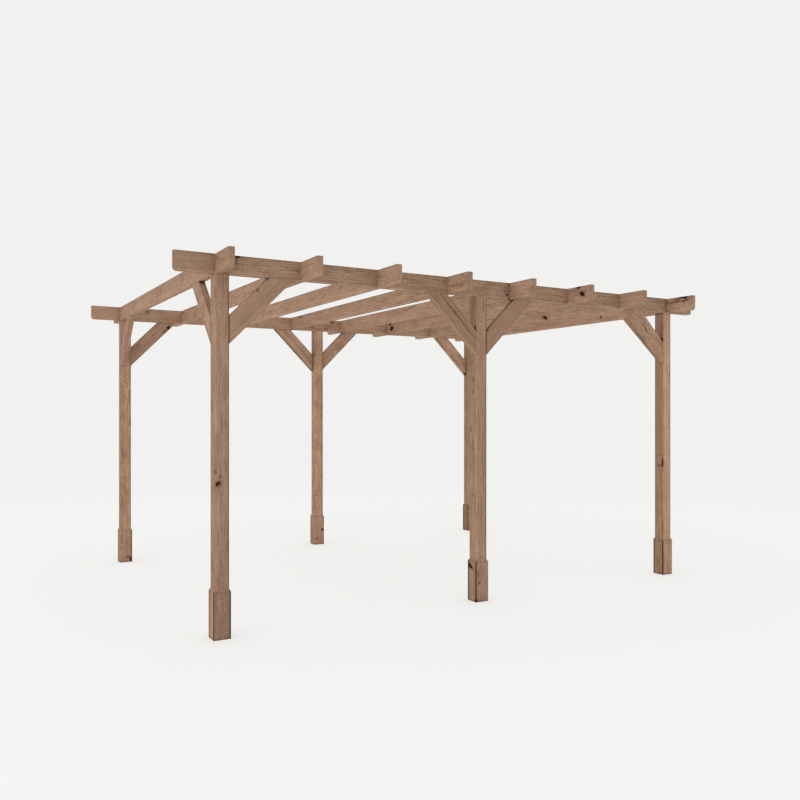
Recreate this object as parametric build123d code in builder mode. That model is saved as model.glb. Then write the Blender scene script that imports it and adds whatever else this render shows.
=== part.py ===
"""A wooden garden pergola: six square posts in two rows, two long beams, eight rafters and twelve braces.

Millimetres, +Z up. The beams run along X and the rafters along Y. The origin is on the ground, under the
middle of the roof's plan, so the beams' ends lie at equal distances along X and the rafters' ends along Y.
"""
import os
from math import sqrt

from build123d import *

# Timber sections
post_size = 100.0  # square posts
timber_thickness = 45.0  # beams, rafters and braces are sawn from one section
timber_depth = 135.0
arris_radius = 3.0  # planed edges of all the timbers

# Layout of the posts
post_height = 2485.0  # ground to the underside of beams and rafters
bay_length = 2165.0  # from post to post along a beam
row_spacing = 3210.0  # from the front posts to the back posts
column_names = ["left", "middle", "right"]
row_names = ["front", "back"]

# Beams and rafters, measured from the centres of the corner posts
beam_overhang_left = 324.0
beam_overhang_right = 346.0
rafter_overhang_front = 330.0
rafter_overhang_back = 360.0
end_rafter_out_left = 24.0  # the first rafter stands this far outside the left posts' centres
end_rafter_out_right = 38.0  # and the last one this far outside the right posts' centres
beam_set_in = 8.0  # a beam's outer face stands this far inside the posts' outer faces
rafter_count = 8
end_radius = 28.0  # rounded lower corner at each end of a beam or rafter

# Cross-halving joint where a rafter crosses a beam
halving_depth = timber_depth / 2
halving_clearance = 0.5  # each side of the notch

# Braces at 45 degrees
brace_leg = 475.0  # reach along the beam, and equally down the post

# Boards around the foot of a post
board_thickness = 10.0
board_height = 340.0
board_bevel_width = 9.0  # the sloping top leaves a narrow flat against the post
board_bevel_height = 18.0
board_joint_gap = 3.0  # open joint between the end boards and the side boards
board_arris_radius = 2.0

# Places worked out from the sizes above
row_length = bay_length * (len(column_names) - 1)
beam_length = beam_overhang_left + row_length + beam_overhang_right
rafter_length = rafter_overhang_front + row_spacing + rafter_overhang_back
left_x = beam_overhang_left - beam_length / 2
right_x = left_x + row_length
front_y = rafter_overhang_front - rafter_length / 2
back_y = front_y + row_spacing
post_xs = [left_x + bay_length * i for i in range(len(column_names))]
row_ys = [front_y, back_y]
first_rafter_x = left_x - end_rafter_out_left
last_rafter_x = right_x + end_rafter_out_right
rafter_pitch = (last_rafter_x - first_rafter_x) / (rafter_count - 1)
rafter_xs = [first_rafter_x + rafter_pitch * i for i in range(rafter_count)]
flush_offset = (post_size - timber_thickness) / 2  # puts a timber flush with a post's outer face
brace_ys = [front_y - flush_offset, back_y + flush_offset]
beam_ys = [front_y - flush_offset + beam_set_in, back_y + flush_offset - beam_set_in]
halving_height = post_height + timber_depth - halving_depth
notch_width = timber_thickness + 2 * halving_clearance
brace_cut = timber_depth * sqrt(2)  # length of the plumb cut and of the level cut
foot_size = post_size + 2 * board_thickness

os.makedirs("parts", exist_ok=True)


def save(builder, label):
    """Label a finished piece and write its STEP file."""
    builder.part.label = label
    export_step(builder.part, f"parts/{label}.step")


def make_post(label, x, y):
    with BuildPart() as post:
        with BuildSketch(Plane.XY):
            with Locations((x, y)):
                RectangleRounded(post_size, post_size, arris_radius)
        extrude(amount=post_height)
    save(post, label)


def make_foot_boards(label, x, y):
    """Four boards around the foot of a post: two cover its front and back, two fit between them."""
    board_centre = (post_size + board_thickness) / 2
    side_board_width = post_size - 2 * board_joint_gap
    with BuildPart() as boards:
        with BuildSketch(Plane.XY):
            with Locations((x, y - board_centre), (x, y + board_centre)):
                RectangleRounded(foot_size, board_thickness, board_arris_radius)
            with Locations((x - board_centre, y), (x + board_centre, y)):
                RectangleRounded(board_thickness, side_board_width, board_arris_radius)
        extrude(amount=board_height)
        # One sloping plane on each side makes the hipped top that sheds water from the post.
        for outward in [(1, 0), (0, 1), (-1, 0), (0, -1)]:
            edge = Vector(x + outward[0] * foot_size / 2, y + outward[1] * foot_size / 2)
            slope = Plane(
                origin=edge + Vector(0, 0, board_height - board_bevel_height),
                z_dir=Vector(outward[0] * board_bevel_height, outward[1] * board_bevel_height, board_bevel_width),
            )
            split(bisect_by=slope, keep=Keep.BOTTOM)
    save(boards, label)


def make_beam(label, y):
    """A beam along X, notched from above where the rafters cross it."""
    with BuildPart() as beam:
        with BuildSketch(Plane((0, y, post_height), x_dir=(1, 0, 0), z_dir=(0, -1, 0))) as outline:
            Rectangle(beam_length, timber_depth, align=(Align.CENTER, Align.MIN))
            fillet(outline.vertices().group_by(Axis.Y)[0], radius=end_radius)
        extrude(amount=timber_thickness / 2, both=True)
        fillet(beam.faces().filter_by(Axis.Y).edges(), radius=arris_radius)
        with BuildSketch(Plane.XY.offset(halving_height)):
            with Locations([(rafter_x, y) for rafter_x in rafter_xs]):
                Rectangle(notch_width, 2 * timber_thickness)
        extrude(amount=halving_depth, mode=Mode.SUBTRACT)
    save(beam, label)


def make_rafter(label, x):
    """A rafter along Y, notched from below over the beams so that both are flush above and below."""
    middle_y = front_y - rafter_overhang_front + rafter_length / 2
    with BuildPart() as rafter:
        with BuildSketch(Plane((x, middle_y, post_height), x_dir=(0, 1, 0), z_dir=(1, 0, 0))) as outline:
            Rectangle(rafter_length, timber_depth, align=(Align.CENTER, Align.MIN))
            fillet(outline.vertices().group_by(Axis.Y)[0], radius=end_radius)
        extrude(amount=timber_thickness / 2, both=True)
        fillet(rafter.faces().filter_by(Axis.X).edges(), radius=arris_radius)
        with BuildSketch(Plane.XY.offset(post_height)):
            with Locations([(x, beam_y) for beam_y in beam_ys]):
                Rectangle(2 * timber_thickness, notch_width)
        extrude(amount=timber_depth - halving_depth, mode=Mode.SUBTRACT)
    save(rafter, label)


def make_brace(label, corner, along):
    """A 45 degree brace in the corner under a beam or rafter. It runs from the post in direction along."""
    along = Vector(*along)
    with BuildPart() as brace:
        with BuildSketch(Plane(corner, x_dir=along, z_dir=along.cross(Vector(0, 0, 1)))):
            with BuildLine():
                Polyline(
                    (0, -brace_leg),
                    (0, brace_cut - brace_leg),
                    (brace_leg - brace_cut, 0),
                    (brace_leg, 0),
                    close=True,
                )
            make_face()
        extrude(amount=timber_thickness / 2, both=True)
        fillet(brace.edges(), radius=arris_radius)
    save(brace, label)


# Posts with the boards around their feet
for row_name, row_y in zip(row_names, row_ys):
    for column_name, post_x in zip(column_names, post_xs):
        make_post(f"post_{row_name}_{column_name}", post_x, row_y)
        make_foot_boards(f"foot_boards_{row_name}_{column_name}", post_x, row_y)

# Roof
for row_name, beam_y in zip(row_names, beam_ys):
    make_beam(f"beam_{row_name}", beam_y)
for number, rafter_x in enumerate(rafter_xs, start=1):
    make_rafter(f"rafter_{number}", rafter_x)

# Braces under the beams, flush with the posts' outer faces
for row_name, brace_y in zip(row_names, brace_ys):
    for column_name, post_x in zip(column_names, post_xs):
        if post_x != post_xs[0]:
            corner = (post_x - post_size / 2, brace_y, post_height)
            make_brace(f"beam_brace_{row_name}_left_of_{column_name}", corner, (-1, 0, 0))
        if post_x != post_xs[-1]:
            corner = (post_x + post_size / 2, brace_y, post_height)
            make_brace(f"beam_brace_{row_name}_right_of_{column_name}", corner, (1, 0, 0))

# Braces under the end rafters, flush with the corner posts' outer faces
for end_name, brace_x in [("left", left_x - flush_offset), ("right", right_x + flush_offset)]:
    front_corner = (brace_x, front_y + post_size / 2, post_height)
    make_brace(f"rafter_brace_front_{end_name}", front_corner, (0, 1, 0))
    back_corner = (brace_x, back_y - post_size / 2, post_height)
    make_brace(f"rafter_brace_back_{end_name}", back_corner, (0, -1, 0))
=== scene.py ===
"""Looks of the wooden pergola: planed softwood, impregnated brown, on a pale studio floor."""
import math
import random

import bpy
from mathutils import Matrix, Vector


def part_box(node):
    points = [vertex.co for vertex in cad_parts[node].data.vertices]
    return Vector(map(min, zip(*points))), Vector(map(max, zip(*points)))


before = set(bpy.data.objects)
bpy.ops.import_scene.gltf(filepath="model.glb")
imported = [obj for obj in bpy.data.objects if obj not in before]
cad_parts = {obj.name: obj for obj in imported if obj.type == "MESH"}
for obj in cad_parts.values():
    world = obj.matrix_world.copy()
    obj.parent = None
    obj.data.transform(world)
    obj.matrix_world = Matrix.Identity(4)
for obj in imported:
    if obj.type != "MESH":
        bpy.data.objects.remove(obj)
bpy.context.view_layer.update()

X = Vector((1, 0, 0))
Y = Vector((0, 1, 0))
Z = Vector((0, 0, 1))

# Lengths are in metres. A fade is a pair: where something has gone, and where it is full.

# ---------------------------------------------------------------- colours
LIGHT_WOOD = (0.441, 0.286, 0.196)
DARK_WOOD = (0.158, 0.078, 0.040)
# Dark brown for stain and for painted shade
STAIN_AND_SHADE_BROWN = (0.058, 0.019, 0.007)
# Knot colours, also used for the marks of painted shade
KNOT_RIM_AND_SHADE = (0.085, 0.033, 0.013)
KNOT_CORE_AND_DEEP_SHADE = (0.017, 0.001, 0.000)
PALE = (0.884, 0.881, 0.867)  # backdrop and far floor
LIT_FLOOR_NEAR = (0.910, 0.908, 0.893)  # floor near the pergola, paler as a painted pool of light
FLOOR_WHITE = (0.98, 0.98, 0.97)  # the floor as the pergola's light meets it

# ---------------------------------------------------------------- the figure of the wood
# Layers of noise: waves a metre along and across the grain, then the noise's detail and roughness
BAND = ((0.8, 14.0, 14.0), 2.0, 0.5)
STREAK = ((2.5, 48.0, 48.0), 3.0, 0.5)
MOTTLE = ((95.0, 105.0, 105.0), 2.0, 0.6)
FLECK = ((6.5, 100.0, 100.0), 3.0, 0.6)
FIBRE = ((30.0, 520.0, 520.0), 3.0, 0.6)
CLOUD = ((7.0, 10.0, 10.0), 3.0, 0.5)
CRACK_LINES = ((0.5, 18.0, 18.0), 1.0, 0.5)
CRACK_PLACES = ((1.7, 6.0, 6.0), 2.0, 0.5)
RING_WAVER = ((0.6, 9.0, 9.0), 2.0, 0.5)
SEASONS = ((0.37, 1.0, 5.3), 1.0, 0.5)  # over the count of rings and the timber's seed
PITH_WANDER = ((1.1, 2.0, 2.0), 3.0, 0.5)
KNOT_OUTLINE = ((1.3, 1.3, 1.3), 3.0, 0.5)  # over a knot's own space

# How much each layer darkens, raises and roughens the wood
DARKENS = {
    "late": 0.18,
    "band": 0.32,
    "streak": 0.50,
    "mottle": 1.25,
    "fleck": 1.15,
    "fibre": 0.45,
    "cloud": 0.55,
    "crack": 0.40,
}
RAISES = {"late": 0.5, "fleck": 0.6, "fibre": 1.0, "crack": -1.5, "knots": -0.6}
ROUGHENS = {"late": -0.10, "knots": -0.15}
FIGURE_LEVEL = -0.05  # what the layers' darkening is added to
MIDDLE_SHADE = 0.39  # from light wood at 0 to dark wood at 1
ROUGHNESS = 0.80
GLOSS = 0.08
BUMP_STRENGTH = 0.4
BUMP_HEIGHT = 0.0006

# Year rings
RING_WIDTH = 0.0042
RING_SHIFT = 3.0  # rings between the two ends of the waver
RING_DARKENS = (0.3, 0.86)  # fades over one ring's width: the slow rise of the late wood ...
RING_ENDS = (1.0, 0.93)  # ... and its sharp end
SEASON_LEVEL = 0.8
PITH_REACH = (0.0, 0.06, 0.06)
PITH_ANGLE = 0.6  # the pith lies up to this angle off the timber's side, on either side of it
PITH_DISTANCE = (0.075, 0.14)  # the least and the most

# Drying cracks
CRACK_WIDTH = (0.006, 0.001)  # fades over how far the lines' noise is from 0 ...
CRACK_SHOWS = (0.02, 0.10)  # ... and over the level of the places' noise

# Places in the noise: each timber has a seed, which moves it along this line
SEEDS = (0, 40)
SEED_STEP = (3.17, 1.31, 2.23)
END_BOARD_SEED = 5.3
OWN_SIDE_SEED = 1.9

# ---------------------------------------------------------------- knots
# Parts of a listed knot, as fades over its own radius, and how dark they are
# The same parts shape the marks of painted shade.
KNOT_BODY = (1.0, 0.7)
KNOT_RING = (0.2, 0.7)
KNOT_HALO = (2.0, 0.9)
KNOT_BEND = (3.5, 0.5)
BODY_DARKNESS = 0.88
RING_DARKNESS = 0.12
HALO_DARKNESS = 0.3
KNOT_ROUGHNESS = 1.1
KNOT_PUSH = 0.35  # how far a knot pushes the rings aside, as a share of its smallest half size
RIM_COLOUR = (-0.1, 0.9)  # this one and the next are fades over the darkness
CORE_COLOUR = (0.55, 1.0)

# Small knots that lie about by chance, where branches ran out from the pith
BRANCH_SPACING = 0.55  # along the log
BRANCH_TURN = 0.8  # round the log, in radians
BRANCH_STRETCH = 0.7  # how long they are along the grain, against their width
BRANCH_LEAST = 0.003
BRANCH_SPREAD = 0.007
BRANCH_CHANCE = (0.40, 0.48)
BRANCH_HEART = (1.1, 0.6)  # fades over the branch's own radius
BRANCH_HALO = (3.0, 0.8)
BRANCH_BEND = (4.0, 0.5)
BRANCH_HALO_DARKNESS = 0.15
BRANCH_DARKNESS = (0.5, 0.15)  # a share by chance, and the least
BRANCH_PUSH = 0.8
BRANCH_FACES = (0.1, 0.5)  # they show on the faces that look right, back or up

# ---------------------------------------------------------------- stain, wear, painted shade and painted highlight
ARRIS_FADE = (0.008, 0.0005)
END_ARRIS = 0.3  # the arrises round a timber's end take up less than those along it
# How much paler the arrises get, from wear and from painted highlight
PALE_ARRIS_WEAR_AND_HIGHLIGHT = 0.7
CLOSE_REACH = 0.050  # painted shade darkens corners narrower than this
CLOSE_FADE = (0.42, 0.12)  # over the share of the sky that is open
CLOSE_SAMPLES = 6
END_GRAIN_FADE = (0.8, 0.95)  # over how squarely a face looks along the grain
# Painted shade in the line where a brace butts against its post
BUTT_SHADE_FADES = {"front": (0.007, 0.002), "back": (0.014, 0.002)}
BUTT_SHADE_DARKNESS = 0.75
# Painted light on a beam's end, past the first rafter
LIT_END_FADE = 0.05
LIT_END_CALMER = -0.35  # the figure is weaker there too

# The feet
BOARD_THICKNESS = 0.010
BOARD_JOINT = 0.003
BOARD_EDGE = 0.0001
# A foot's dark corners: stain on the sawn board edges, and painted shade in the open joints
FOOT_ARRIS = (0.005, 0.0015)
BARE_EDGE_IN = (0.002, 0.001)
BARE_EDGE_ALONG = (0.016, 0.013)
BEVEL_HEIGHT = 0.019
UNDER_BEVEL = (0.009, 0.002)
UNDER_BEVEL_DARKNESS = 0.22
SPLASH = (0.016, 0.004)
SPLASH_DARKNESS = 0.40


# ---------------------------------------------------------------- node helpers
class Graph:
    """Short calls for building a shader node tree."""

    def __init__(self, tree):
        self.tree = tree

    def node(self, kind, **settings):
        made = self.tree.nodes.new(kind)
        for key, value in settings.items():
            setattr(made, key, value)
        return made

    def put(self, socket, value):
        if isinstance(value, bpy.types.NodeSocket):
            self.tree.links.new(value, socket)
        else:
            socket.default_value = value

    def math(self, operation, *values, clamp=False):
        made = self.node("ShaderNodeMath", operation=operation, use_clamp=clamp)
        for socket, value in zip(made.inputs, values):
            self.put(socket, value)
        return made.outputs[0]

    def add(self, a, b):
        return self.math("ADD", a, b)

    def minus(self, a, b):
        return self.math("SUBTRACT", a, b)

    def times(self, a, b):
        return self.math("MULTIPLY", a, b)

    def times_add(self, a, b, c):
        """a times b, plus c."""
        return self.math("MULTIPLY_ADD", a, b, c)

    def size(self, a):
        """The value without its sign."""
        return self.math("ABSOLUTE", a)

    def most(self, first, *others):
        for other in others:
            first = self.math("MAXIMUM", first, other)
        return first

    def vector(self, operation, *values):
        made = self.node("ShaderNodeVectorMath", operation=operation)
        for socket, value in zip(made.inputs, values):
            self.put(socket, value)
        return made.outputs["Value" if operation in ("LENGTH", "DOT_PRODUCT") else "Vector"]

    def dot(self, a, b):
        return self.vector("DOT_PRODUCT", a, b)

    def scaled(self, vector, factor):
        made = self.node("ShaderNodeVectorMath", operation="SCALE")
        self.put(made.inputs[0], vector)
        self.put(made.inputs["Scale"], factor)
        return made.outputs["Vector"]

    def split(self, vector):
        made = self.node("ShaderNodeSeparateXYZ")
        self.put(made.inputs[0], vector)
        return made.outputs

    def join(self, x, y, z=0.0):
        made = self.node("ShaderNodeCombineXYZ")
        for socket, value in zip(made.inputs, (x, y, z)):
            self.put(socket, value)
        return made.outputs[0]

    def ramp(self, value, low, high):
        """0 at low, 1 at high, smooth between them. Low may be the larger."""
        made = self.node("ShaderNodeMapRange", interpolation_type="SMOOTHSTEP")
        self.put(made.inputs["Value"], value)
        self.put(made.inputs["From Min"], low)
        self.put(made.inputs["From Max"], high)
        return made.outputs[0]

    def noise_node(self, place, waves, detail, roughness):
        made = self.node("ShaderNodeTexNoise")
        self.put(made.inputs["Vector"], self.vector("MULTIPLY", place, waves))
        made.inputs["Scale"].default_value = 1.0
        made.inputs["Detail"].default_value = detail
        made.inputs["Roughness"].default_value = roughness
        return made

    def noise(self, place, waves, detail, roughness):
        """Noise from -0.5 to 0.5, with so many waves a metre along each axis."""
        return self.minus(self.noise_node(place, waves, detail, roughness).outputs[0], 0.5)

    def noise_vector(self, place, waves, detail, roughness):
        """The same for each of the three axes."""
        made = self.noise_node(place, waves, detail, roughness)
        return self.vector("SUBTRACT", made.outputs[1], (0.5, 0.5, 0.5))

    def blend(self, factor, a, b):
        """a where the factor is 0, b where it is 1."""
        return self.times_add(factor, self.minus(b, a), a)

    def weigh(self, base, layers, weights):
        """The base value plus every layer times its weight."""
        for name, weight in weights.items():
            base = self.times_add(layers[name], weight, base)
        return base

    def mix(self, factor, a, b):
        """Colour a where the factor is 0, b where it is 1."""
        made = self.node("ShaderNodeMix", data_type="RGBA")
        self.put(made.inputs[0], factor)
        self.put(made.inputs[6], a)  # 6, 7 and output 2 are the node's colour sockets
        self.put(made.inputs[7], b)
        return made.outputs[2]


def opaque(colour):
    return (*colour, 1)


def new_group(name, inputs, outputs):
    """A node group: its graph, the sockets it is given, and the sockets it fills."""
    group = bpy.data.node_groups.new(name, "ShaderNodeTree")
    for kind, labels in inputs.items():
        for label in labels.split():
            group.interface.new_socket(label, in_out="INPUT", socket_type=f"NodeSocket{kind}")
    for kind, labels in outputs.items():
        for label in labels.split():
            group.interface.new_socket(label, in_out="OUTPUT", socket_type=f"NodeSocket{kind}")
    graph = Graph(group)
    return graph, graph.node("NodeGroupInput").outputs, graph.node("NodeGroupOutput").inputs


# ---------------------------------------------------------------- knots that are listed one by one
# The same shape also serves the listed marks of painted shade.
def knot_and_shade_group():
    """A knot in its own space, where it is a ball of radius 1: a dark heart, a ring and a halo; it
    also shapes the marks of painted shade.
    """
    g, given, out = new_group(
        "knot",
        {"Vector": "Place", "Float": "Depth Reach Knots Bend"},
        {"Float": "Knots Bend"},
    )
    rough = g.scaled(g.noise_vector(given["Place"], *KNOT_OUTLINE), KNOT_ROUGHNESS)
    distance = g.vector("LENGTH", g.vector("ADD", given["Place"], rough))
    body = g.ramp(distance, *KNOT_BODY)
    ring = g.times(body, g.ramp(distance, *KNOT_RING))
    halo = g.times(g.ramp(distance, *KNOT_HALO), HALO_DARKNESS)
    heart = g.times_add(ring, RING_DARKNESS, g.times(body, BODY_DARKNESS))
    shown = g.times(g.most(heart, halo), given["Depth"])
    g.put(out["Knots"], g.most(given["Knots"], shown))
    bend = g.ramp(distance, *KNOT_BEND)
    g.put(out["Bend"], g.times_add(bend, given["Reach"], given["Bend"]))
    return g.tree


# ---------------------------------------------------------------- the wood itself
def pith_place(g, given, place):
    """The place seen from the tree's pith, which wanders a little along the log."""
    wander = g.vector("MULTIPLY", g.noise_vector(place, *PITH_WANDER), PITH_REACH)
    from_pith = g.vector("ADD", g.vector("SUBTRACT", given["Local"], given["Pith"]), wander)
    return g.vector("MULTIPLY", from_pith, (0, 1, 1))


def branch_knots(g, along, angle, radius):
    """Small knots by chance: how dark they are, and how far they push the rings."""
    place = g.join(g.math("DIVIDE", along, BRANCH_SPACING), g.math("DIVIDE", angle, BRANCH_TURN))
    cells = g.node("ShaderNodeTexVoronoi", voronoi_dimensions="2D")
    g.put(cells.inputs["Vector"], place)
    cells.inputs["Scale"].default_value = 1.0
    gap = g.split(g.vector("SUBTRACT", place, cells.outputs["Position"]))
    gap_along = g.times(gap[0], BRANCH_SPACING * BRANCH_STRETCH)
    gap_round = g.times(g.times(gap[1], BRANCH_TURN), radius)
    away = g.vector("LENGTH", g.join(gap_along, gap_round))
    chance = g.split(cells.outputs["Color"])
    size = g.times_add(chance[0], BRANCH_SPREAD, BRANCH_LEAST)
    shown = g.ramp(chance[1], *BRANCH_CHANCE)
    near = g.math("DIVIDE", away, size)
    heart = g.times(g.ramp(near, *BRANCH_HEART), g.times_add(chance[2], *BRANCH_DARKNESS))
    halo = g.times(g.ramp(near, *BRANCH_HALO), BRANCH_HALO_DARKNESS)
    dark = g.times(g.most(heart, halo), shown)
    push = g.times(g.times(g.ramp(near, *BRANCH_BEND), shown), g.times(size, BRANCH_PUSH))
    return dark, push


def late_wood(g, given, place, ringed):
    """The dark band that ends each year's ring, stronger in some years."""
    waver = g.times(g.noise(place, *RING_WAVER), RING_SHIFT)
    count = g.times_add(ringed, 1 / RING_WIDTH, waver)
    phase = g.math("FRACT", count)
    band = g.times(g.ramp(phase, *RING_DARKENS), g.ramp(phase, *RING_ENDS))
    season = g.noise(g.join(count, 0.0, given["Seed"]), *SEASONS)
    return g.times(band, g.add(season, SEASON_LEVEL))


def surface_stain_and_shade(g, given):
    """How dark each spot is made by stain and painted shade, and how pale its arrises are made by
    wear and painted highlight.

    Painted shade and highlight lie on the arrises by the way they face, painted shade in narrow
    corners; stain lies on the arrises, and the timber adds its own stain and painted shade.
    """
    inset = g.split(g.vector("SUBTRACT", given["Half"], g.vector("ABSOLUTE", given["Local"])))
    outer = g.math("MAXIMUM", inset[1], inset[2])
    inner = g.math("MINIMUM", inset[1], inset[2])
    edge = g.math("MAXIMUM", inner, g.math("MINIMUM", outer, inset[0]))
    rounded = g.most(g.ramp(outer, *ARRIS_FADE), g.times(g.ramp(edge, *ARRIS_FADE), END_ARRIS))
    # Painted shade and highlight: arrises darker on the sides given by the rim shading, paler on
    # the opposite sides
    rim = g.dot(g.vector("DIVIDE", given["Local"], given["Half"]), given["Rim"])
    arris = g.times(rounded, g.add(rim, given["Arris"]))
    # Painted shade in narrow corners, taken from the occlusion there
    closeness = g.node("ShaderNodeAmbientOcclusion", samples=CLOSE_SAMPLES)
    closeness.inputs["Distance"].default_value = CLOSE_REACH
    joint = g.ramp(closeness.outputs["AO"], *CLOSE_FADE)
    # How pale the arrises are made: wear, and painted highlight on the sides opposite the rim
    # shading
    worn = g.math("MULTIPLY", arris, -1.0, clamp=True)
    return g.most(arris, g.times(joint, given["Joint"]), given["Stain"]), worn


def cracks(g, place):
    """Thin drying cracks along the grain, in some places only."""
    lines = g.ramp(g.size(g.noise(place, *CRACK_LINES)), *CRACK_WIDTH)
    return g.times(lines, g.ramp(g.noise(place, *CRACK_PLACES), *CRACK_SHOWS))


def figure_layers(g, given, place):
    """All that shows in the wood: rings, bands, streaks, fibres, cracks and knots."""
    from_pith = pith_place(g, given, place)
    radius = g.vector("LENGTH", from_pith)
    angle = g.math("ARCTAN2", g.split(from_pith)[2], g.split(from_pith)[1])
    branches, push = branch_knots(g, g.split(place)[0], angle, radius)
    mottled = g.scaled(place, given["Mottle"])
    return {
        "late": late_wood(g, given, place, g.add(g.add(radius, push), given["Bend"])),
        "band": g.noise(place, *BAND),
        "streak": g.noise(place, *STREAK),
        "mottle": g.noise(mottled, *MOTTLE),
        "fleck": g.noise(place, *FLECK),
        "fibre": g.noise(place, *FIBRE),
        "cloud": g.noise(place, *CLOUD),
        "crack": cracks(g, place),
        "knots": g.most(given["Knots"], g.times(branches, given["Branches"])),
    }


def softwood_group():
    """Wood in a timber's own frame, with x along the grain and the pith outside the timber."""
    g, given, out = new_group(
        "softwood",
        {
            "Vector": "Local Half Pith Rim",
            "Float": "Seed Tone Contrast Mottle Arris Joint Stain Branches Knots Bend",
        },
        {"Color": "Color", "Float": "Height Roughness"},
    )
    place = g.vector("ADD", given["Local"], g.scaled(SEED_STEP, given["Seed"]))
    layers = figure_layers(g, given, place)
    figure = g.weigh(FIGURE_LEVEL, layers, DARKENS)
    shade = g.math("MULTIPLY_ADD", figure, given["Contrast"], MIDDLE_SHADE, clamp=True)
    stain, worn = surface_stain_and_shade(g, given)
    lightness = g.times(given["Tone"], g.times_add(worn, PALE_ARRIS_WEAR_AND_HIGHLIGHT, 1.0))
    base = g.scaled(g.mix(shade, opaque(LIGHT_WOOD), opaque(DARK_WOOD)), lightness)
    # Stain and painted shade share one dark brown
    stained_and_shaded = g.mix(stain, base, opaque(STAIN_AND_SHADE_BROWN))
    # Knot colours, which also colour the marks of painted shade
    rimmed = g.mix(g.ramp(layers["knots"], *RIM_COLOUR), stained_and_shaded, opaque(KNOT_RIM_AND_SHADE))
    coloured = g.mix(g.ramp(layers["knots"], *CORE_COLOUR), rimmed, opaque(KNOT_CORE_AND_DEEP_SHADE))
    g.put(out["Color"], coloured)
    g.put(out["Height"], g.weigh(0.0, layers, RAISES))
    g.put(out["Roughness"], g.weigh(ROUGHNESS, layers, ROUGHENS))
    return g.tree


KNOT_AND_SHADE_MARK = knot_and_shade_group()
SOFTWOOD = softwood_group()


# ---------------------------------------------------------------- where each timber lies
def grain_of(node):
    """The direction of the grain, and a second axis across the timber."""
    if node.startswith(("post", "foot")):
        return Z, X
    if node.startswith("rafter_brace_front"):
        return (Y + Z).normalized(), X
    if node.startswith("rafter_brace_back"):
        return (Z - Y).normalized(), X
    if node.startswith("beam_brace"):
        return (Z - X if "left_of" in node else Z + X).normalized(), Y
    if node.startswith("beam"):
        return X, Y
    return Y, -X


def axes_of(node):
    """The timber's own axes: the grain, the second axis, and the third one across both."""
    grain, side = grain_of(node)
    return Matrix((grain, side, grain.cross(side)))


BURIED = 1.0  # puts the ends of a timber that butts against others out of the arrises' reach


def half_size(node):
    """Half the timber's size along its own axes."""
    low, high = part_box(node)
    size = (high - low) / 2
    if "brace" in node:
        beam_low, beam_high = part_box("beam_front")
        return Vector((BURIED, min(size.x, size.y), (beam_high.z - beam_low.z) / 2))
    if node.startswith("post"):
        return Vector((size.z + BURIED, size.x, size.y))
    return Vector([abs(size.dot(axis)) for axis in axes_of(node)])


def centre_of(node):
    """The middle of the timber. A brace lies in the upper half of its box."""
    low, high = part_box(node)
    centre = (low + high) / 2
    if "brace" in node:
        up = axes_of(node)[2]
        centre += up * math.copysign(half_size(node).z, up.z)
    return centre


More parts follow.
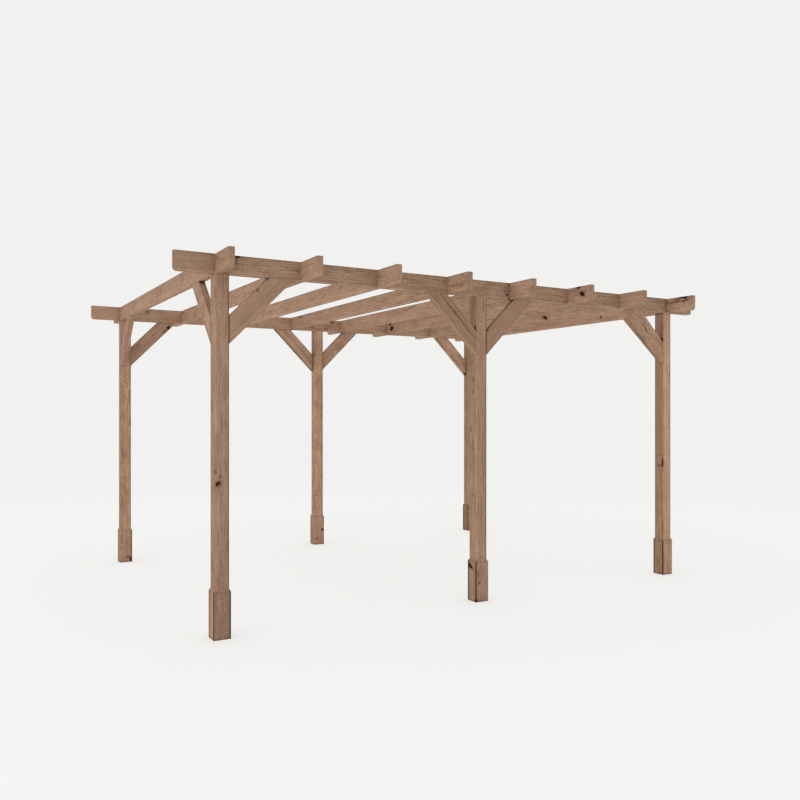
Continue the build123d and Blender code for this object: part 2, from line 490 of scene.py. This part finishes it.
# ---------------------------------------------------------------- how each timber looks
# Directions are to the right, to the back and up.
USUAL = dict(
    tone=1.0,  # how light the wood is
    drift=(0, 0, 0),  # how the tone changes along each direction, as a share of it a metre
    face_light=(0, 0, 0),  # painted light and shade: how much lighter a face is that looks that way, and darker the opposite one
    contrast=1.0,  # how strong the figure is
    mottle=1.0,  # how fine the mottle is
    arris=0.15,  # how dark the arrises are; below 0 they are worn pale
    rim=(0, 0, 0.42),  # painted shade on the arrises: how much darker they are in each direction, and paler in the opposite one
    joint=0.75,  # painted shade: how dark the narrow corners between timbers are
    end_grain=0.12,  # how dark the sawn ends are
    lit_end=0.0,  # painted light: how much paler a beam is where it stands out past the first rafter
    corner_stain_and_shade=0.95,  # how dark the open joints at the corners of a foot are: stain on the sawn edges, and painted shade in the gaps
)
USUAL_RAFTER = dict(
    drift=(0, 0, -0.65),
    face_light=(0, 0, 0.06),
    arris=0.20,
    rim=(0, 0, 0.60),
    joint=0.1,
)
LOOKS = {
    "beam_front": dict(
        tone=0.905, drift=(-0.012, 0, -0.65), arris=-0.12, rim=(-0.30, 0, 0.62), lit_end=0.04
    ),
    "beam_back": dict(tone=1.065, drift=(0, 0, -0.3), contrast=0.85, lit_end=0.10),
    "beam_brace_front_right_of_left": dict(
        tone=1.01, contrast=0.65, arris=-0.10, rim=(0, 0, -0.25)
    ),
    "beam_brace_front_left_of_middle": dict(tone=0.89, face_light=(-0.18, 0, -0.18), contrast=0.7),
    "beam_brace_front_right_of_middle": dict(
        tone=0.94, face_light=(0.14, 0, -0.14), contrast=0.50, arris=0.20, rim=(0, 0, 0.05)
    ),
    "beam_brace_front_left_of_right": dict(tone=1.08, face_light=(-0.045, 0, -0.045), contrast=1.15),
    "beam_brace_back_right_of_left": dict(tone=1.04, contrast=1.1),
    "beam_brace_back_left_of_middle": dict(
        tone=1.19, face_light=(0.23, 0, 0.23), contrast=1.6, arris=0.40, rim=(0, 0, 0)
    ),
    "beam_brace_back_right_of_middle": dict(tone=1.075, contrast=1.6),
    "beam_brace_back_left_of_right": dict(
        tone=1.33, face_light=(-0.04, 0, -0.04), contrast=1.6, arris=0.45, rim=(0, 0, 0)
    ),
    "foot_boards_front_left": dict(
        tone=0.97, face_light=(-0.22, 0.17, 0), arris=0.20, rim=(0.50, 0, 0)
    ),
    "foot_boards_front_middle": dict(face_light=(0.07, 0, 0), rim=(0, 0, 0)),
    "foot_boards_front_right": dict(face_light=(0.05, -0.13, 0), rim=(0, 0, 0)),
    "foot_boards_back_left": dict(tone=1.06, rim=(0.50, 0, 0), corner_stain_and_shade=0.15),
    "foot_boards_back_middle": dict(
        tone=1.12, face_light=(0.08, 0, 0), rim=(0.40, 0, 0), corner_stain_and_shade=0.10
    ),
    "foot_boards_back_right": dict(tone=0.76, corner_stain_and_shade=0.40),
    "post_front_left": dict(tone=0.98, face_light=(-0.05, 0, 0), arris=0.28, rim=(0.42, 0, 0)),
    "post_front_middle": dict(
        tone=0.99, face_light=(-0.03, 0, 0), contrast=0.8, mottle=0.7, arris=0.05, rim=(0.60, 0, 0)
    ),
    "post_front_right": dict(
        tone=1.14, face_light=(0.17, -0.19, 0), contrast=0.7, mottle=0.55, arris=0.34, rim=(0.18, 0, 0)
    ),
    "post_back_left": dict(
        tone=1.16, face_light=(0.10, 0, 0), contrast=1.2, arris=0.42, rim=(0.08, 0, 0)
    ),
    "post_back_middle": dict(
        tone=1.20, face_light=(0.08, 0, 0), contrast=1.5, arris=0.05, rim=(0.60, 0, 0)
    ),
    "post_back_right": dict(tone=0.90, face_light=(-0.09, 0, 0), arris=-0.15, rim=(0.45, 0, 0)),
    "rafter_1": dict(tone=1.095, contrast=0.85, rim=(0, 0, 0.35), end_grain=0.08),
    "rafter_2": dict(tone=1.18, end_grain=0.17),
    "rafter_3": dict(tone=1.175, contrast=0.9, end_grain=0.15),
    "rafter_4": dict(tone=1.075, end_grain=0.17),
    "rafter_5": dict(tone=1.14, end_grain=0.22),
    "rafter_6": dict(tone=1.09, end_grain=0.09),
    "rafter_7": dict(tone=1.05, end_grain=0.11),
    "rafter_8": dict(tone=1.125, end_grain=0.04),
    "rafter_brace_front_left": dict(tone=1.08, contrast=1.2),
    "rafter_brace_front_right": dict(tone=0.95),
    "rafter_brace_back_left": dict(tone=1.03),
}


def look_of(node):
    """All that is said of a timber, with what is usual where nothing is said."""
    is_rafter = node.startswith("rafter") and "brace" not in node
    return {**USUAL, **(USUAL_RAFTER if is_rafter else {}), **LOOKS.get(node, {})}


# Knots and marks listed for a timber: how far from its low corner, half size, darkness, and a
# turn in radians where there is one. A mark longer than its timber is a dark streak along an edge.
# Some marks are painted shade: shadow beside rafter ends, dark corners where braces meet posts and
# beams, and the long dark streaks along edges.
UP_RIGHT = (0, -0.6, 0)
UP_BACK = {"rafter": (0.5, 0, 0), "foot": (0.55, 0, 0)}
ALONG = {"right": (0, -0.785, 0), "left": (0, 0.785, 0)}
KNOTS_AND_SHADE_MARKS = {
    "beam_front": [
        # Painted shadow of rafter_1's end on the beam, in these three
        ((0.428, 0, 0.130), (0.032, 0.02, 0.013), 1.0),
        ((0.448, 0, 0.130), (0.030, 0.02, 0.008), 0.6),
        ((0.426, 0, 0.098), (0.014, 0.02, 0.034), 0.5),
        # Painted shade along the top edge
        ((3.900, 0, 0.135), (1.300, 0.02, 0.007), 0.40),
        ((2.748, 0, 0.066), (0.034, 0.02, 0.046), 0.28),
        ((2.758, 0, 0.034), (0.013, 0.02, 0.012), 0.9),
        ((2.774, 0, 0.122), (0.014, 0.02, 0.010), 0.6),
        ((2.778, 0, 0.004), (0.016, 0.02, 0.008), 0.8),
        # Painted shade beside rafter_8's end
        ((4.650, 0, 0.098), (0.020, 0.02, 0.060), 0.35),
    ],
    "beam_back": [
        # Painted shadow under a rafter's lower edge
        ((0.555, 0, 0.104), (0.030, 0.02, 0.016), 0.5),
        ((2.680, 0, 0.112), (0.034, 0.02, 0.016), 0.7),
        ((2.640, 0, 0.060), (0.080, 0.02, 0.030), 0.3),
        ((2.427, 0, 0.046), (0.016, 0.02, 0.020), 0.5),
        ((2.602, 0, 0.026), (0.028, 0.02, 0.012), 0.5),
        ((3.386, 0, 0.045), (0.026, 0.02, 0.014), 0.4),
    ],
    "beam_brace_front_left_of_middle": [
        ((0.263, 0, 0.324), (0.024, 0.02, 0.012), 0.6, ALONG["left"]),
        ((0.292, 0, 0.292), (0.360, 0.02, 0.006), 0.5, ALONG["left"]),
    ],
    "beam_brace_front_left_of_right": [
        ((0.242, 0, 0.294), (0.018, 0.02, 0.010), 0.5, ALONG["left"]),
        ((0.308, 0, 0.260), (0.018, 0.02, 0.008), 0.4, ALONG["left"]),
    ],
    "beam_brace_front_right_of_left": [
        ((0.204, 0, 0.378), (0.014, 0.02, 0.012), 0.5),
        # Painted shade in the corner under the beam
        ((0.280, 0.022, 0.470), (0.013, 0.04, 0.013), 0.9),
    ],
    # Painted shade in the corner by the post
    "beam_brace_front_right_of_middle": [((0.008, 0.022, 0.208), (0.016, 0.04, 0.020), 0.75)],
    "beam_brace_back_left_of_right": [((0.455, 0, 0.010), (0.020, 0.02, 0.024), 1.0)],
    "beam_brace_back_right_of_left": [
        ((0.396, 0, 0.422), (0.024, 0.02, 0.016), 1.0, ALONG["right"]),
        ((0.356, 0, 0.382), (0.022, 0.02, 0.012), 0.6, ALONG["right"]),
    ],
    # Painted shade at the brace's top end
    "rafter_brace_front_left": [((0.022, 0.272, 0.470), (0.03, 0.022, 0.022), 0.65)],
    # Painted shade along the right edge
    "foot_boards_front_left": [((0.118, 0, 0.170), (0.009, 0.02, 0.500), 0.85)],
    "foot_boards_front_middle": [
        ((0, 0.082, 0.284), (0.02, 0.042, 0.016), 1.0, UP_BACK["foot"]),
        ((0, 0.094, 0.290), (0.02, 0.030, 0.018), 1.0, UP_BACK["foot"]),
        ((0.030, 0, 0.155), (0.018, 0.02, 0.011), 0.6, UP_RIGHT),
        ((0.016, 0, 0.222), (0.018, 0.02, 0.040), 0.35),
        ((0.002, 0, 0.012), (0.010, 0.02, 0.018), 1.0),
    ],
    "foot_boards_back_left": [
        ((0.110, 0, 0.030), (0.017, 0.02, 0.026), 1.0),
        ((0.080, 0, 0.056), (0.020, 0.02, 0.012), 0.6),
        # Painted shade along the right edge
        ((0.117, 0, 0.200), (0.009, 0.02, 0.250), 0.7),
    ],
    "foot_boards_back_middle": [
        ((0.100, 0, 0.170), (0.014, 0.02, 0.016), 1.0),
        ((0.032, 0, 0.076), (0.024, 0.02, 0.018), 0.4),
        # Painted shade along the right edge
        ((0.118, 0, 0.170), (0.010, 0.02, 0.500), 0.60),
    ],
    "post_front_left": [
        ((0.021, 0, 1.060), (0.020, 0.02, 0.012), 1.0, UP_RIGHT),
        ((0.026, 0, 1.062), (0.034, 0.02, 0.026), 0.45, UP_RIGHT),
        ((0.005, 0, 1.140), (0.012, 0.02, 0.018), 0.5),
        ((0.039, 0, 1.109), (0.013, 0.02, 0.010), 0.45),
        # Painted shade along the right edge
        ((0.099, 0, 1.300), (0.009, 0.02, 4.000), 0.30),
    ],
    "post_front_middle": [
        ((0, 0.049, 1.810), (0.02, 0.012, 0.015), 0.5),
        ((0, 0.049, 1.708), (0.02, 0.012, 0.015), 0.5),
        ((0, 0.084, 1.932), (0.02, 0.010, 0.015), 0.45),
        ((0, 0.079, 1.406), (0.02, 0.014, 0.030), 0.4),
        # Painted shade on the left face, in the pocket above the brace
        ((0, 0.057, 2.373), (0.02, 0.012, 0.100), 0.3),
        ((0, 0.056, 1.270), (0.02, 0.010, 0.060), 0.35),
        ((0, 0.052, 0.865), (0.02, 0.012, 0.030), 0.4),
        # Painted shade in the corner where the brace meets the post
        ((0, 0.022, 2.228), (0.02, 0.014, 0.018), 0.8),
        ((0.070, 0, 2.418), (0.008, 0.02, 0.070), 0.35),
        # Painted shade along the right edge
        ((0.099, 0, 1.300), (0.009, 0.02, 4.000), 0.40),
    ],
    "post_front_right": [
        ((0, 0.008, 1.065), (0.010, 0.010, 0.050), 0.95),
        ((0, 0.009, 1.040), (0.010, 0.012, 0.018), 1.0),
        ((0, 0.046, 1.032), (0.02, 0.030, 0.014), 0.5),
        ((0, 0.038, 1.133), (0.02, 0.014, 0.014), 0.4),
        ((0, 0.044, 0.985), (0.02, 0.022, 0.010), 0.35),
        ((0, 0.006, 0.440), (0.02, 0.008, 0.100), 0.5),
        # Painted shade on the left face: in the pocket above the brace, at its corner, and under
        # the beam
        ((0, 0.018, 2.310), (0.02, 0.016, 0.110), 0.4),
        ((0, 0.014, 2.228), (0.02, 0.014, 0.024), 1.0),
        ((0, 0.050, 2.482), (0.02, 0.060, 0.012), 0.6),
        # Painted shade along the right edge and along the left face's back edge
        ((0.099, 0, 1.300), (0.009, 0.02, 4.000), 0.30),
        ((0, 0.098, 1.300), (0.02, 0.010, 4.000), 0.50),
    ],
    "post_back_left": [
        ((0.085, 0, 1.722), (0.010, 0.02, 0.080), 0.4),
        ((0.093, 0, 1.438), (0.010, 0.02, 0.060), 0.5),
        ((0.088, 0, 1.212), (0.014, 0.02, 0.080), 0.35),
        # Painted shade along the right edge
        ((0.099, 0, 1.300), (0.009, 0.02, 4.000), 0.20),
    ],
    "post_back_middle": [
        ((0.090, 0, 1.050), (0.010, 0.02, 0.030), 0.4),
        ((0.074, 0, 1.597), (0.012, 0.02, 0.030), 0.3),
        # Painted shade along the right edge
        ((0.098, 0, 1.300), (0.010, 0.02, 4.000), 0.45),
    ],
    "post_back_right": [((0, 0.048, 0.826), (0.02, 0.010, 0.100), 0.45)],
    "rafter_1": [((0, 1.810, 0.100), (0.02, 0.026, 0.014), 0.35)],
    "rafter_2": [((0, 3.472, 0.105), (0.02, 0.030, 0.014), 0.5)],
    "rafter_4": [((0, 3.260, 0.117), (0.02, 0.070, 0.014), 0.5)],
    "rafter_6": [
        ((0, 0.101, 0.067), (0.03, 0.037, 0.022), 1.0, UP_BACK["rafter"]),
        ((0, 0.075, 0.082), (0.03, 0.030, 0.014), 0.4),
        ((0, 0.155, 0.066), (0.03, 0.030, 0.012), 0.35),
        ((0, 0.145, 0.128), (0.03, 0.034, 0.012), 1.0),
        ((0, 3.403, 0.066), (0.03, 0.040, 0.032), 1.0),
        ((0, 3.405, 0.066), (0.03, 0.070, 0.045), 0.35),
        ((0, 3.447, 0.123), (0.03, 0.034, 0.018), 0.85),
    ],
    "rafter_7": [
        ((0, 1.318, 0.022), (0.03, 0.042, 0.018), 1.0, UP_BACK["rafter"]),
        ((0, 1.330, 0.026), (0.03, 0.070, 0.026), 0.35),
    ],
    "rafter_8": [
        ((0, 0.078, 0.122), (0.03, 0.018, 0.018), 1.0),
        ((0, 0.098, 0.136), (0.03, 0.080, 0.020), 1.0),
        ((0, 0.091, 0.089), (0.03, 0.024, 0.011), 0.7),
        ((0, 0.165, 0.111), (0.03, 0.032, 0.011), 0.6),
        ((0, 0.057, 0.099), (0.03, 0.022, 0.012), 0.65),
        ((0, 0.200, 0.094), (0.03, 0.140, 0.009), 0.5),
        ((0, 0.100, 0.050), (0.03, 0.022, 0.010), 0.3),
        ((0, 1.169, 0.050), (0.02, 0.018, 0.012), 0.8),
    ],
}


def placed_knots_and_shade_marks(g, node, place):
    """All the listed knots of a timber: how dark each spot is, and how the rings bend."""
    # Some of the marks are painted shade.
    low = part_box(node)[0]
    knots, bend = 0.0, 0.0
    for offset, half, darkness, *turn in KNOTS_AND_SHADE_MARKS.get(node, ()):
        spot = g.node("ShaderNodeMapping", vector_type="TEXTURE")
        g.put(spot.inputs["Vector"], place)
        spot.inputs["Location"].default_value = low + Vector(offset)
        spot.inputs["Rotation"].default_value = turn[0] if turn else (0, 0, 0)
        spot.inputs["Scale"].default_value = half
        knot = g.node("ShaderNodeGroup", node_tree=KNOT_AND_SHADE_MARK)
        g.put(knot.inputs["Place"], spot.outputs[0])
        knot.inputs["Depth"].default_value = darkness
        knot.inputs["Reach"].default_value = KNOT_PUSH * min(half)
        g.put(knot.inputs["Knots"], knots)
        g.put(knot.inputs["Bend"], bend)
        knots, bend = knot.outputs["Knots"], knot.outputs["Bend"]
    return knots, bend


def board_of(g, local, half):
    """Tells the four boards round a foot apart, and finds the open joints at its corners."""
    across = g.split(local)
    joint_middle = half.z - BOARD_THICKNESS - BOARD_JOINT / 2
    from_middle = g.size(across[2])
    end_board = g.ramp(from_middle, joint_middle - BOARD_EDGE, joint_middle + BOARD_EDGE)
    own_side = g.math("SIGN", g.blend(end_board, across[1], across[2]))
    number = g.times_add(own_side, OWN_SIDE_SEED, g.times(end_board, END_BOARD_SEED))
    corner_y = g.minus(half.y, g.size(across[1]))
    corner_z = g.minus(half.z, g.size(across[2]))
    # Stain on the sawn board edges and painted shade in the open joints, at the corners
    arris = g.ramp(g.math("MAXIMUM", corner_y, corner_z), *FOOT_ARRIS)
    bare_edge_and_gap_shade = g.times(g.ramp(corner_y, *BARE_EDGE_IN), g.ramp(corner_z, *BARE_EDGE_ALONG))
    return number, g.math("MAXIMUM", arris, bare_edge_and_gap_shade)


def foot_stain_and_shade(g, node, place, joints):
    """Darkening on a foot: stain and painted shade at its corners, a dark band below its bevelled
    top, and stain where it meets the ground.
    """
    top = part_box(node)[1].z
    height = g.split(place)[2]
    under_bevel = g.ramp(g.size(g.minus(height, top - BEVEL_HEIGHT)), *UNDER_BEVEL)
    splash = g.ramp(height, *SPLASH)
    return g.most(
        joints,
        g.times(under_bevel, UNDER_BEVEL_DARKNESS),
        g.times(splash, SPLASH_DARKNESS),
    )


def butt_shade(g, node, place):
    """Painted shade: the dark line where a brace butts against its post."""
    low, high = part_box(node)
    if node.startswith("beam_brace"):
        axis, wall = 0, high.x if "left_of" in node else low.x
    else:
        axis, wall = 1, low.y if "front" in node else high.y
    away = g.size(g.minus(g.split(place)[axis], wall))
    row = "back" if "back" in node else "front"
    return g.times(g.ramp(away, *BUTT_SHADE_FADES[row]), BUTT_SHADE_DARKNESS)


def end_stain(g, look, normal, grain):
    """The sawn ends of a timber take up more stain."""
    squarely = g.size(g.dot(normal, grain))
    return g.times(g.ramp(squarely, *END_GRAIN_FADE), look["end_grain"])


def set_pith(wood, dice):
    """The tree's pith lies outside the timber, on one side or the other."""
    angle = dice.uniform(-PITH_ANGLE, PITH_ANGLE) + dice.choice((0, math.pi))
    distance = dice.uniform(*PITH_DISTANCE)
    pith = (0, distance * math.cos(angle), distance * math.sin(angle))
    wood.inputs["Pith"].default_value = pith


def set_tone(g, wood, look, place, normal, local, axes):
    """How light the wood is and how strong its figure, at each spot."""
    tone, contrast = look["tone"], look["contrast"]
    # Painted light and shade by the way a face looks, added to the drift along the timber
    share = g.add(g.dot(local, axes @ Vector(look["drift"])), g.dot(normal, look["face_light"]))
    # Painted light on a beam's end past the first rafter, where its figure is also weaker
    if look["lit_end"]:
        rafter_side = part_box("rafter_1")[0].x
        past = g.ramp(g.split(place)[0], rafter_side, rafter_side - LIT_END_FADE)
        share = g.times_add(past, look["lit_end"], share)
        contrast = g.times_add(past, LIT_END_CALMER, contrast)
    g.put(wood.inputs["Tone"], g.times_add(share, tone, tone))
    g.put(wood.inputs["Contrast"], contrast)


def connect(g, shader, wood):
    """Joins the wood to its shader, with a fine relief."""
    g.put(shader.inputs["Base Color"], wood.outputs["Color"])
    g.put(shader.inputs["Roughness"], wood.outputs["Roughness"])
    shader.inputs["Specular IOR Level"].default_value = GLOSS
    bump = g.node("ShaderNodeBump")
    bump.inputs["Strength"].default_value = BUMP_STRENGTH
    bump.inputs["Distance"].default_value = BUMP_HEIGHT
    g.put(bump.inputs["Height"], wood.outputs["Height"])
    g.put(shader.inputs["Normal"], bump.outputs[0])


def wood_material(node, dice):
    """One timber's own piece of wood."""
    look, axes, half = look_of(node), axes_of(node), half_size(node)
    material = bpy.data.materials.new(f"wood_{node}")
    material.use_nodes = True
    g = Graph(material.node_tree)
    coordinates = g.node("ShaderNodeTexCoord")
    place, normal = coordinates.outputs["Object"], coordinates.outputs["Normal"]
    turned = g.node("ShaderNodeMapping", vector_type="TEXTURE")
    g.put(turned.inputs["Vector"], place)
    turned.inputs["Location"].default_value = centre_of(node)
    turned.inputs["Rotation"].default_value = axes.transposed().to_euler()
    local = turned.outputs[0]

    wood = g.node("ShaderNodeGroup", node_tree=SOFTWOOD)
    given = wood.inputs
    seed = dice.uniform(*SEEDS)
    # The stain input: stain and painted shade at a foot's corners, painted shade where a brace
    # butts, stain on sawn ends
    if node.startswith("foot"):
        number, bare = board_of(g, local, half)
        seed = g.add(number, seed)
        joints = g.times(bare, look["corner_stain_and_shade"])
        stain = foot_stain_and_shade(g, node, place, joints)
    elif "brace" in node:
        stain = butt_shade(g, node, place)
    else:
        stain = end_stain(g, look, normal, axes[0])
    set_pith(wood, dice)
    set_tone(g, wood, look, place, normal, local, axes)
    knots, bend = placed_knots_and_shade_marks(g, node, place)
    g.put(given["Seed"], seed)
    g.put(given["Stain"], stain)
    g.put(given["Local"], local)
    g.put(given["Half"], half)
    g.put(given["Rim"], axes @ Vector(look["rim"]))
    g.put(given["Arris"], look["arris"])
    g.put(given["Joint"], look["joint"])
    g.put(given["Mottle"], look["mottle"])
    g.put(given["Branches"], g.ramp(g.dot(normal, (1, 1, 1)), *BRANCH_FACES))
    g.put(given["Knots"], knots)
    g.put(given["Bend"], bend)
    connect(g, material.node_tree.nodes["Principled BSDF"], wood)
    return material


dice = random.Random(7)
for name in sorted(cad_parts):
    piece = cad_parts[name]
    piece.data.materials.clear()
    piece.data.materials.append(wood_material(name, dice))


# ---------------------------------------------------------------- floor, backdrop and light
FLOOR_SIZE = 60.0
FLOOR_DROP = -0.0005  # keeps the floor just clear of the feet
LIT_FLOOR_MIDDLE = (-2.0, -4.0, 0.0)  # painted pool of light: the floor is palest round here
LIT_FLOOR_FADE = (7.5, 17.0)
FLOOR_GLOW = 0.6  # the share of a direct look that takes no shadow
SKY_LIGHT = 0.99
KEY_LIGHT_PLACE = (-11.0, -3.5, 5.0)
KEY_LIGHT_TARGET = (0, 0, 1.2)
KEY_LIGHT_SIZE = 6.0
KEY_LIGHT_POWER = 90


def direct_look(g):
    """1 where the camera looks straight at a surface, or sees it in gloss or through glass."""
    path = g.node("ShaderNodeLightPath").outputs
    return g.most(path["Is Camera Ray"], path["Is Glossy Ray"], path["Is Transmission Ray"])


def floor_material():
    """A white studio floor. A direct look sees it pale, palest in a painted pool of light at the
    front left of the pergola, with a trace of the pergola's shadow.
    """
    material = bpy.data.materials.new("pale_floor")
    material.use_nodes = True
    tree = material.node_tree
    tree.nodes.clear()
    g = Graph(tree)
    place = g.node("ShaderNodeTexCoord").outputs["Object"]
    away = g.vector("LENGTH", g.vector("SUBTRACT", place, LIT_FLOOR_MIDDLE))
    colour = g.mix(g.ramp(away, *LIT_FLOOR_FADE), opaque(LIT_FLOOR_NEAR), opaque(PALE))
    seen = direct_look(g)
    matt = g.node("ShaderNodeBsdfDiffuse")
    g.put(matt.inputs["Color"], g.mix(seen, opaque(FLOOR_WHITE), colour))
    glow = g.node("ShaderNodeEmission")
    g.put(glow.inputs["Color"], colour)
    blend = g.node("ShaderNodeMixShader")
    g.put(blend.inputs[0], g.times(seen, FLOOR_GLOW))
    g.put(blend.inputs[1], matt.outputs[0])
    g.put(blend.inputs[2], glow.outputs[0])
    g.put(g.node("ShaderNodeOutputMaterial").inputs[0], blend.outputs[0])
    return material


def pale_floor():
    size = FLOOR_SIZE
    mesh = bpy.data.meshes.new("studio_floor")
    corners = [(-size, -size, 0), (size, -size, 0), (size, size, 0), (-size, size, 0)]
    mesh.from_pydata(corners, [], [(0, 1, 2, 3)])
    mesh.materials.append(floor_material())
    floor = bpy.data.objects.new("studio_floor", mesh)
    bpy.context.scene.collection.objects.link(floor)
    floor.location.z = FLOOR_DROP


def studio_world():
    """Even white light from all round; a direct look at the backdrop sees the pale colour."""
    world = bpy.data.worlds.new("studio")
    world.use_nodes = True
    bpy.context.scene.world = world
    tree = world.node_tree
    tree.nodes.clear()
    g = Graph(tree)
    light = g.node("ShaderNodeBackground")
    light.inputs["Color"].default_value = (1, 1, 1, 1)
    light.inputs["Strength"].default_value = SKY_LIGHT
    backdrop = g.node("ShaderNodeBackground")
    backdrop.inputs["Color"].default_value = opaque(PALE)
    blend = g.node("ShaderNodeMixShader")
    g.put(blend.inputs[0], direct_look(g))
    g.put(blend.inputs[1], light.outputs[0])
    g.put(blend.inputs[2], backdrop.outputs[0])
    g.put(g.node("ShaderNodeOutputWorld").inputs[0], blend.outputs[0])


def key_light():
    """A broad, soft lamp to the left of the pergola."""
    lamp = bpy.data.lights.new("key_light", "AREA")
    lamp.shape = "DISK"
    lamp.size = KEY_LIGHT_SIZE
    lamp.energy = KEY_LIGHT_POWER
    holder = bpy.data.objects.new("key_light", lamp)
    bpy.context.scene.collection.objects.link(holder)
    holder.location = KEY_LIGHT_PLACE
    look = Vector(KEY_LIGHT_TARGET) - Vector(KEY_LIGHT_PLACE)
    holder.rotation_euler = look.to_track_quat("-Z", "Y").to_euler()


pale_floor()
studio_world()
key_light()


# ---------------------------------------------------------------- camera
CAMERA_FROM_FOOT = (-1.666, -5.338, 1.556)  # from the foot of the front left post
CAMERA_TURN = -30.034  # degrees to the right of the rafters' direction
CAMERA_LENS = 35.855
CAMERA_SENSOR = 36.0
CAMERA_SHIFT = (0.0008, 0.0132)


def add_camera():
    """An eye-level camera off the front left corner, looking level."""
    low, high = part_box("post_front_left")
    foot = Vector(((low.x + high.x) / 2, (low.y + high.y) / 2, 0))
    camera_data = bpy.data.cameras.new("camera")
    camera_data.sensor_width = CAMERA_SENSOR
    camera_data.lens = CAMERA_LENS
    camera_data.shift_x, camera_data.shift_y = CAMERA_SHIFT
    camera = bpy.data.objects.new("camera", camera_data)
    bpy.context.scene.collection.objects.link(camera)
    camera.location = foot + Vector(CAMERA_FROM_FOOT)
    camera.rotation_euler = (math.radians(90), 0, math.radians(CAMERA_TURN))
    bpy.context.scene.camera = camera


add_camera()
bpy.context.scene.view_settings.view_transform = "Standard"
